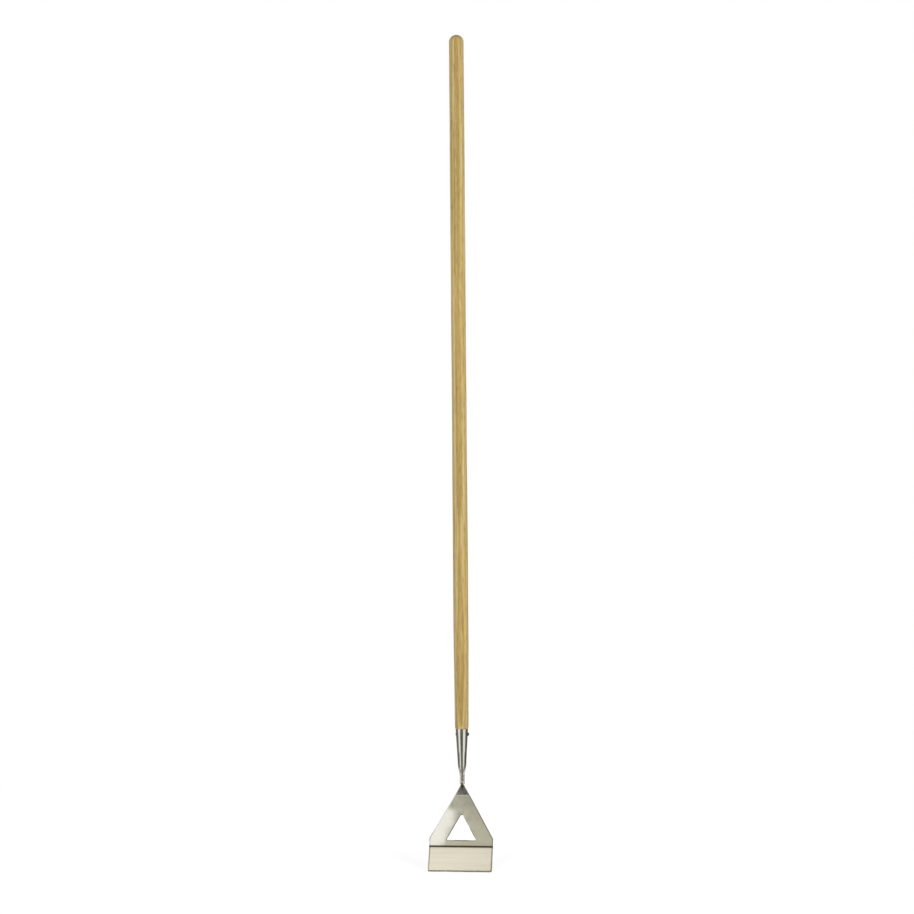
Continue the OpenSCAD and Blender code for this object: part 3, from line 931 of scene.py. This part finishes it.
def weld_finish(finishes):
    """Weld metal left as it set: dark oxide in clouds, and straw tints in its grain."""
    grain_depth = 0.0002
    finish = new_finish("weld_metal")
    place = finish.place()
    cloud = finish.noise(place, (210, 600, 600), 3.0, 0.6)
    grain = finish.noise(place, (2600, 2600, 2600))
    tone = finish.mixed(finish.spread(cloud, (0.35, 0.7)), finishes.oxide, finishes.weld)
    tinted = finish.mixed(finish.spread(grain, (0.5, 0.75), (0.0, 0.3)), tone, finishes.straw, "MULTIPLY")
    return finish.surface("BsdfPrincipled", {
        "Base Color": tinted,
        "Metallic": 0.85,
        "Roughness": finish.spread(grain, (0.3, 0.7), (0.4, 0.6)),
        "Normal": finish.bump(grain, 0.2, grain_depth),
    })


# Stage

def seen_ray(finish):
    """1 for rays from the camera and for those that metal or glass sends on, and 0 for the rest."""
    path = finish.node("LightPath").outputs
    either = finish.math("MAXIMUM", path["Is Camera Ray"], path["Is Glossy Ray"])
    return finish.math("MAXIMUM", either, path["Is Transmission Ray"])


def floor_finish():
    """A white floor: for seen rays mostly its own white, with the rest left to the light, so that a shadow
    still shows near the object; further out it is all white."""
    fade, own_near, gain, matt_white = (0.25, 1.3), 0.7, 1.5, 0.85
    finish = new_finish("floor_white")
    seen = seen_ray(finish)
    away = finish.distance(finish.stretched(finish.place(), (1, 1, 0)), (0, 0, 0))
    own = finish.spread(away, fade, (own_near, 1.0))
    rest = finish.times(finish.minus(1.0, own), gain)
    matt = finish.node("BsdfDiffuse", {"Color": finish.spread(seen, (0.0, 1.0), (matt_white, rest))})
    glow = finish.node("Emission", {"Strength": finish.times(own, seen)})
    return finish.surface("AddShader", {0: matt.outputs[0], 1: glow.outputs[0]})


def card_finish(name, light, foot_light, heights):
    """A card that shows in the metal, with one light at its top and another at its foot."""
    finish = new_finish(name)
    finish.owner.cycles.emission_sampling = "NONE"
    share = finish.spread(finish.along("Z", finish.place()), heights)
    return finish.surface("Emission", {"Color": finish.mixed(share, foot_light, light)})


def add_card(name, corners, light, foot_light=None):
    """A flat or curved card from a grid of points. Only reflections see it."""
    height = corners[..., 2]
    finish = card_finish(name, light, foot_light or light, (height.min(), height.max()))
    card = meshed(name, corners, [grid_faces(*corners.shape[:2])], finish)
    card.visible_camera = False
    card.visible_diffuse = False
    card.visible_shadow = False
    card.visible_transmission = False
    return card


def curved_card(name, light, reach, sides, heights, foot_light=None):
    """Part of an upright cylinder round the handle's axis. The sides are angles in degrees from the front to
    the right, and the heights are measured from the socket's mouth."""
    columns = 24
    side, height = np.meshgrid(np.radians(np.linspace(*sides, columns)), socket_low.z + np.array(heights))
    return add_card(name, joined(reach * np.sin(side), -reach * np.cos(side), height), light, foot_light)


def domed_card(name, light, reach, sides, tilts, middle):
    """Part of a sphere round middle. The sides are angles from the front to the right, the tilts angles above
    the level, all in degrees."""
    columns, rows = 12, 6
    side, tilt = np.meshgrid(np.radians(np.linspace(*sides, columns)), np.radians(np.linspace(*tilts, rows)))
    way = joined(np.cos(tilt) * np.sin(side), -np.cos(tilt) * np.cos(side), np.sin(tilt))
    return add_card(name, middle + reach * way, light)


def flat_card(name, light, across, depths, heights):
    """A rectangle from one depth and height to another."""
    corners = [[(x, depth, height) for x in across] for depth, height in zip(depths, heights)]
    return add_card(name, np.array(corners), light)


def camera_place(stage):
    """Where the camera stands."""
    side = stage.camera_side
    return Vector((stage.camera_distance * math.sin(side), -stage.camera_distance * math.cos(side),
                   stage.camera_height))


def reflected(stage, point, out):
    """Direction in which a mirror at point, with the unit normal out, sends the camera's ray on."""
    to_camera = (camera_place(stage) - Vector(point)).normalized()
    normal = Vector(out)
    return 2 * normal.dot(to_camera) * normal - to_camera


def socket_cards():
    """The cards that show in the socket, the neck and the tab: dark ones in front and at both sides, with two
    white stripes left between them, and pale ones beside the neck."""
    far, near, nearer, nearest, high = 0.3, 0.15, 0.149, 0.148, 0.6
    ahead, behind, neck_sides = (-28, 27), 172, (97, 140)
    low_side, low_overlap, crease_side, crease_overlap = 80, 12, 40, 27
    brown, grey, tab_grey = (0.13, 0.12, 0.085), (0.2, 0.19, 0.16), (0.15, 0.14, 0.125)
    crest_foot, crease_foot, neck_foot = (0.44, 0.43, 0.37), (0.42, 0.41, 0.36), (0.36, 0.35, 0.31)
    curved_card("socket_card", brown, far, ahead, heights=(-0.0217, 0.0583))
    curved_card("crest_card", brown, far, ahead, heights=(-0.0867, -0.0217), foot_light=crest_foot)
    curved_card("tab_card", tab_grey, reach=0.2, sides=(-8, 40), heights=(-0.1467, -0.0247))
    for name, way, start, pale, dark in (
            ("left_", -1, 69, (1.1, 1.08, 1.03), (0.19, 0.18, 0.155)),
            ("right_", 1, 76, (0.68, 0.66, 0.62), brown)):
        crease_sides = (crease_side, start + crease_overlap)
        for ending, light, reach, sides, heights, foot_light in (
                ("card", dark, near, (start, behind), (-0.0117, 0.0983), None),
                ("low_card", dark, nearer, (start - low_overlap, low_side), (-0.0067, 0.0223), None),
                ("crease_card", brown, nearest, crease_sides, (-0.0517, -0.0027), crease_foot),
                ("neck_card", pale, far, neck_sides, (-0.0867, -0.0417), neck_foot),
                ("high_card", grey, high, (start, behind), (0.2083, 0.6083), None)):
            curved_card(name + ending, light, reach, [way * side for side in sides], heights, foot_light)


def sheet_cards(stage, head):
    """The cards that show in the head: a white one in the left limb and a grey one in the rest of the frame,
    with their corners where the frame reflects them, dark ones above and at the right that show in the
    facets, one before the blade's bevel and one on the floor under it."""
    def shown(across, along, reach):
        point = Vector((across, *sheet_place(head, along)))
        return tuple(point + reach * reflected(stage, point, (0, *front(head.lean))))

    def shown_card(name, light, reach, rows, foot_light=None):
        corners = [[shown(across, along, reach) for across, along in row] for row in rows]
        add_card(name, np.array(corners), light, foot_light)

    lowest, middle = cad_box[0], np.array([0, *sheet_place(head, head.frame_length / 2)])
    above_floor, before_edge, above_edge, bevel_height = 0.001, 0.0548, 0.0033, 0.05
    shown_card("white_card", (1.24, 1.23, 1.19), reach=0.29,
               rows=[[(-0.09, 0.006), (-0.0095, 0.029)], [(-0.13, 0.12), (-0.04, 0.12)]])
    shown_card("grey_card", (0.36, 0.355, 0.3), reach=0.5,
               rows=[[(-0.14, -0.04), (0.5, -0.04)], [(-0.14, 0.14), (0.5, 0.14)]],
               foot_light=(0.82, 0.8, 0.63))
    domed_card("upper_card", (0.16, 0.16, 0.14), reach=0.6, sides=(-15, 60), tilts=(48, 59), middle=middle)
    domed_card("edge_card", (0.17, 0.17, 0.15), reach=0.35, sides=(15, 80), tilts=(16, 56), middle=middle)
    bevel_depth, bevel_foot = lowest.y - before_edge, lowest.z + above_edge
    flat_card("bevel_card", (0.13, 0.13, 0.11), across=(-0.11, 0.02), depths=(bevel_depth, bevel_depth),
              heights=(bevel_foot, bevel_foot + bevel_height))
    flat_card("floor_card", (0.5, 0.48, 0.43), across=(-0.12, 0.12), depths=(-0.07, 0.12),
              heights=(lowest.z + above_floor, lowest.z + above_floor))


def add_lamp(name, place, power):
    """A large soft light, aimed near the middle of the hoe, that metal doesn't show."""
    aim, width, height = Vector((0, 0, 0.35)), 1.0, 2.2
    data = bpy.data.lights.new(name, "AREA")
    data.shape = "RECTANGLE"
    data.size = width
    data.size_y = height
    data.energy = power
    lamp = linked(name, data)
    lamp.location = place
    lamp.rotation_euler = (aim - Vector(place)).to_track_quat("-Z", "Y").to_euler()
    lamp.visible_glossy = False
    return lamp


def add_world(ambient):
    """White for seen rays, and an even light for the rest."""
    world = bpy.data.worlds.new("studio")
    bpy.context.scene.world = world
    finish = Finish(world, "OutputWorld")
    strength = finish.spread(seen_ray(finish), (0.0, 1.0), (ambient, 1.0))
    finish.surface("Background", {"Color": (1.0, 1.0, 1.0), "Strength": strength})


def add_floor(radius):
    """A round floor under the lowest point of the object."""
    segments, hole_radius = 64, 0.001
    turn = around(segments)
    rings = joined(np.cos(turn), np.sin(turn), 0)[None] * np.array([hole_radius, radius])[:, None, None]
    rings[..., 2] = cad_box[0].z
    faces = grid_faces(*rings.shape[:2], wrap_columns=True)[:, ::-1]
    floor = meshed("floor", rings, [faces], floor_finish())


def add_camera(stage):
    """A level camera that aims past the handle's axis, rolled as the picture is."""
    data = bpy.data.cameras.new("camera")
    data.sensor_width = 36.0
    data.lens = data.sensor_width * stage.camera_distance / stage.view_width
    camera = linked("camera", data)
    side = stage.camera_side
    place = camera_place(stage)
    aim = Vector((-stage.view_offset * math.cos(side), -stage.view_offset * math.sin(side),
                  stage.camera_height))
    turn = (aim - place).to_track_quat("-Z", "Y").to_matrix().to_4x4()
    camera.matrix_world = Matrix.Translation(place) @ turn @ Matrix.Rotation(-stage.camera_roll, 4, "Z")
    bpy.context.scene.camera = camera


# Operators

class HOE_OT_handle(bpy.types.Operator):
    """Turn the ash handle"""
    bl_idname = "hoe.handle"
    bl_label = "Ash handle"

    def execute(self, context):
        scene = context.scene
        finish = ash_finish(scene.hoe_finishes)
        dress(turned_handle(scene.hoe_handle), "turned_handle", "ash_handle", finish)
        return {"FINISHED"}


class HOE_OT_socket(bpy.types.Operator):
    """Form the pinched socket"""
    bl_idname = "hoe.socket"
    bl_label = "Socket"

    def execute(self, context):
        scene = context.scene
        finish = polished_finish(scene)
        dress(pinched_socket(scene.hoe_socket), "pinched_socket", "socket", finish)
        return {"FINISHED"}


class HOE_OT_rivet(bpy.types.Operator):
    """Set the rivet through socket and handle"""
    bl_idname = "hoe.rivet"
    bl_label = "Rivet"

    def execute(self, context):
        scene = context.scene
        shape = hammered_rivet(scene.hoe_rivet, scene.hoe_socket)
        dress(shape, "hammered_rivet", "socket_rivet", rivet_finish(scene.hoe_finishes))
        return {"FINISHED"}


class HOE_OT_head_plate(bpy.types.Operator):
    """Punch and bend the head plate"""
    bl_idname = "hoe.head_plate"
    bl_label = "Head plate"

    def execute(self, context):
        scene = context.scene
        shape = head_plate(scene.hoe_head, scene.hoe_welds)
        dress(shape, "bent_head_plate", "head_frame", polished_finish(scene))
        return {"FINISHED"}


class HOE_OT_blade(bpy.types.Operator):
    """Grind the blade"""
    bl_idname = "hoe.blade"
    bl_label = "Blade"

    def execute(self, context):
        scene = context.scene
        shape = ground_blade(scene.hoe_blade, scene.hoe_head, scene.hoe_welds)
        dress(shape, "ground_blade", "blade", satin_finish(scene), crease=20)
        return {"FINISHED"}


class HOE_OT_welds(bpy.types.Operator):
    """Lay the neck's beads and the seam"""
    bl_idname = "hoe.welds"
    bl_label = "Welds"

    def execute(self, context):
        scene = context.scene
        welds, head = scene.hoe_welds, scene.hoe_head
        finish = weld_finish(scene.hoe_finishes)
        dress(neck_beads(welds, head), "neck_beads", "neck_weld", finish)
        dress(seam_bead(welds, head, scene.hoe_blade), "seam_bead", "blade_weld", finish)
        return {"FINISHED"}


class HOE_OT_stage(bpy.types.Operator):
    """Set the floor, the light and the camera"""
    bl_idname = "hoe.stage"
    bl_label = "Stage"

    def execute(self, context):
        scene = context.scene
        stage = scene.hoe_stage
        scene.view_settings.view_transform = "Standard"
        add_world(stage.ambient)
        add_floor(stage.floor_radius)
        socket_cards()
        sheet_cards(stage, scene.hoe_head)
        add_lamp("key_lamp", (2.1, -1.45, 0.7), stage.key_power)
        add_lamp("fill_lamp", (-1.4, -2.2, 0.7), stage.fill_power)
        add_lamp("back_lamp", (0.5, 2.5, 0.9), stage.back_power)
        add_camera(stage)
        return {"FINISHED"}


class HOE_PT_panel(bpy.types.Panel):
    """Lists the hoe's pieces"""
    bl_idname = "HOE_PT_panel"
    bl_label = "Dutch hoe"
    bl_space_type = "VIEW_3D"
    bl_region_type = "UI"
    bl_category = "Hoe"

    def draw(self, context):
        for operator in OPERATORS:
            self.layout.operator(operator.bl_idname)


GROUPS = {
    "hoe_handle": HandleSizes,
    "hoe_socket": SocketSizes,
    "hoe_rivet": RivetSizes,
    "hoe_head": HeadSizes,
    "hoe_blade": BladeSizes,
    "hoe_welds": WeldSizes,
    "hoe_finishes": Finishes,
    "hoe_stage": StageSizes,
}
OPERATORS = (
    HOE_OT_handle, HOE_OT_socket, HOE_OT_rivet, HOE_OT_head_plate, HOE_OT_blade, HOE_OT_welds, HOE_OT_stage)
CLASSES = (*GROUPS.values(), *OPERATORS, HOE_PT_panel)


def register():
    for cls in CLASSES:
        bpy.utils.register_class(cls)
    for name, group in GROUPS.items():
        setattr(bpy.types.Scene, name, bpy.props.PointerProperty(type=group))


def unregister():
    for name in GROUPS:
        delattr(bpy.types.Scene, name)
    for cls in reversed(CLASSES):
        bpy.utils.unregister_class(cls)


def main():
    """Makes every piece and the stage."""
    register()
    bpy.ops.hoe.handle()
    bpy.ops.hoe.socket()
    bpy.ops.hoe.rivet()
    bpy.ops.hoe.head_plate()
    bpy.ops.hoe.blade()
    bpy.ops.hoe.welds()
    bpy.ops.hoe.stage()


if __name__ == "__main__":
    main()
